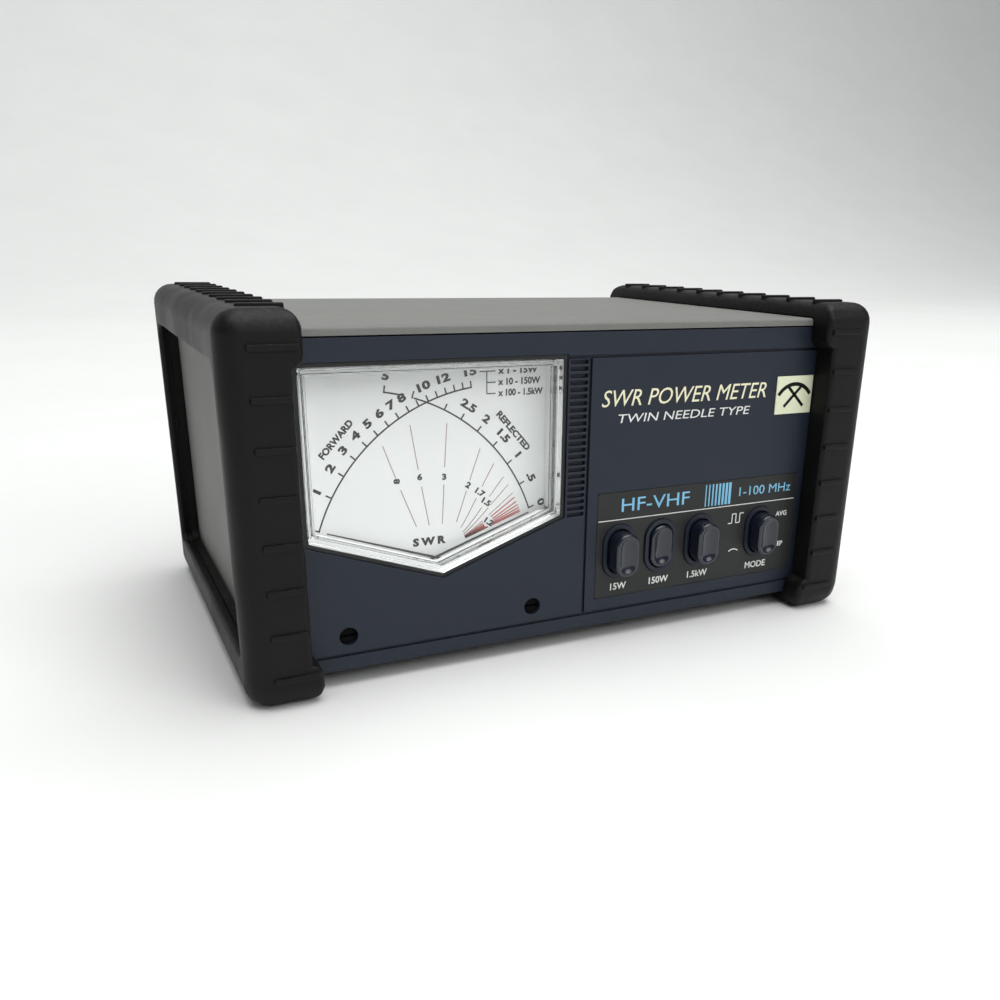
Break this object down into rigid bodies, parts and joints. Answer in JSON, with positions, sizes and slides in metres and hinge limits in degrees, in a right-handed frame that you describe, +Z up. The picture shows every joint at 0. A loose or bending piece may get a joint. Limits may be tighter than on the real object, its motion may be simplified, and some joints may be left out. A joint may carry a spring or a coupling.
{
  "type": "swr and power meter",
  "caption": "Bench SWR and power meter: crossed-needle dial behind a pointed clear window, oblong push buttons, coaxial sockets behind, case held between ribbed rubber side bumpers.",
  "frame": {"origin": "middle of the whole object in plan, on the plane that the bumpers rest on", "axes": "+X to the right along the front panel, +Y from the panel to the sockets, +Z up"},
  "size_m": [0.165, 0.1198, 0.0836],
  "materials": {
    "bumper_rubber": "fine matt moulded rubber, slightly glossy on the edges",
    "cover_paint": "satin grey enamel with a faint orange-peel texture",
    "chassis_paint": "dark grey textured enamel",
    "bezel_plastic": "navy moulded plastic with a fine spark texture",
    "label_film": "matt dark overlay film with printed legends",
    "badge_plate": "pale printed badge",
    "clear_plastic": "clear polished acrylic",
    "housing_plastic": "black moulded plastic",
    "dial_card": "matt white enamel, printed scales",
    "lamp_glass": "clear bulb",
    "needle_paint": "matt black paint on thin aluminium",
    "coil_copper": "enamelled copper wire",
    "magnet_steel": "ground soft iron",
    "bridge_brass": "stamped brass",
    "button_plastic": "semi-gloss navy plastic",
    "switch_plastic": "black moulded plastic",
    "board_laminate": "glass-epoxy laminate with green resist",
    "plated_metal": "nickel plating, satin",
    "insulator_plastic": "off-white fluoropolymer",
    "contact_brass": "silver-washed brass",
    "core_ferrite": "dark sintered ferrite"
  },
  "bodies": {
    "case": {"antenna_socket_contact": "contact_brass", "antenna_socket_insulator": "insulator_plastic", "antenna_socket_screw_1": "plated_metal", "antenna_socket_screw_2": "plated_metal", "antenna_socket_screw_3": "plated_metal", "antenna_socket_screw_4": "plated_metal", "antenna_socket_shell": "plated_metal", "bearing_bridge_forward": "bridge_brass", "bearing_bridge_reflected": "bridge_brass", "bumper_left": "bumper_rubber", "bumper_right": "bumper_rubber", "chassis": "chassis_paint", "control_label": "label_film", "coupler_board": "board_laminate", "coupler_box": "plated_metal", "coupler_lid": "plated_metal", "coupler_line": "contact_brass", "coupler_toroid": "core_ferrite", "cover_screw_left_front": "plated_metal", "cover_screw_left_rear": "plated_metal", "cover_screw_right_front": "plated_metal", "cover_screw_right_rear": "plated_metal", "dial_plate": "dial_card", "emblem_plate": "badge_plate", "front_bezel": "bezel_plastic", "lamp_supply_jack": "switch_plastic", "magnet_forward": "magnet_steel", "magnet_reflected": "magnet_steel", "main_board": "board_laminate", "meter_housing": "housing_plastic", "meter_lamp": "lamp_glass", "meter_window": "clear_plastic", "switch_body_high_range": "switch_plastic", "switch_body_low_range": "switch_plastic", "switch_body_mid_range": "switch_plastic", "switch_body_mode": "switch_plastic", "switch_bracket": "plated_metal", "top_cover": "cover_paint", "transmitter_socket_contact": "contact_brass", "transmitter_socket_insulator": "insulator_plastic", "transmitter_socket_screw_1": "plated_metal", "transmitter_socket_screw_2": "plated_metal", "transmitter_socket_screw_3": "plated_metal", "transmitter_socket_screw_4": "plated_metal", "transmitter_socket_shell": "plated_metal"},
    "forward_pointer": {"needle_forward": "needle_paint", "moving_coil_forward": "coil_copper"},
    "reflected_pointer": {"needle_reflected": "needle_paint", "moving_coil_reflected": "coil_copper"},
    "low_range_button": {"button_low_range": "button_plastic"},
    "mid_range_button": {"button_mid_range": "button_plastic"},
    "high_range_button": {"button_high_range": "button_plastic"},
    "mode_button": {"button_mode": "button_plastic"},
    "forward_adjuster": {"zero_adjuster_forward": "switch_plastic"},
    "reflected_adjuster": {"zero_adjuster_reflected": "switch_plastic"}
  },
  "joints": [
    {"name": "forward_pointer_swing", "type": "hinge", "parent": "case", "child": "forward_pointer", "pos_m": [-0.0196, -0.0449, 0.0199], "axis": [0, 1, 0], "range_deg": [0, 66], "stiffness_Nm_per_rad": 0.000006},
    {"name": "reflected_pointer_swing", "type": "hinge", "parent": "case", "child": "reflected_pointer", "pos_m": [-0.0528, -0.0459, 0.0199], "axis": [0, -1, 0], "range_deg": [0, 66], "stiffness_Nm_per_rad": 0.000006},
    {"name": "low_range_push", "type": "slide", "parent": "case", "child": "low_range_button", "axis": [0, 1, 0], "range_m": [0, 0.0034], "stiffness_N_per_m": 120},
    {"name": "mid_range_release", "type": "slide", "parent": "case", "child": "mid_range_button", "axis": [0, 1, 0], "range_m": [-0.0034, 0]},
    {"name": "high_range_push", "type": "slide", "parent": "case", "child": "high_range_button", "axis": [0, 1, 0], "range_m": [0, 0.0034], "stiffness_N_per_m": 120},
    {"name": "mode_push", "type": "slide", "parent": "case", "child": "mode_button", "axis": [0, 1, 0], "range_m": [0, 0.0034], "stiffness_N_per_m": 120},
    {"name": "forward_zero_turn", "type": "hinge", "parent": "case", "child": "forward_adjuster", "pos_m": [-0.0134, -0.0503, 0.012], "axis": [0, 1, 0], "range_deg": [-30, 30]},
    {"name": "reflected_zero_turn", "type": "hinge", "parent": "case", "child": "reflected_adjuster", "pos_m": [-0.059, -0.0503, 0.012], "axis": [0, 1, 0], "range_deg": [-30, 30]}
  ]
}
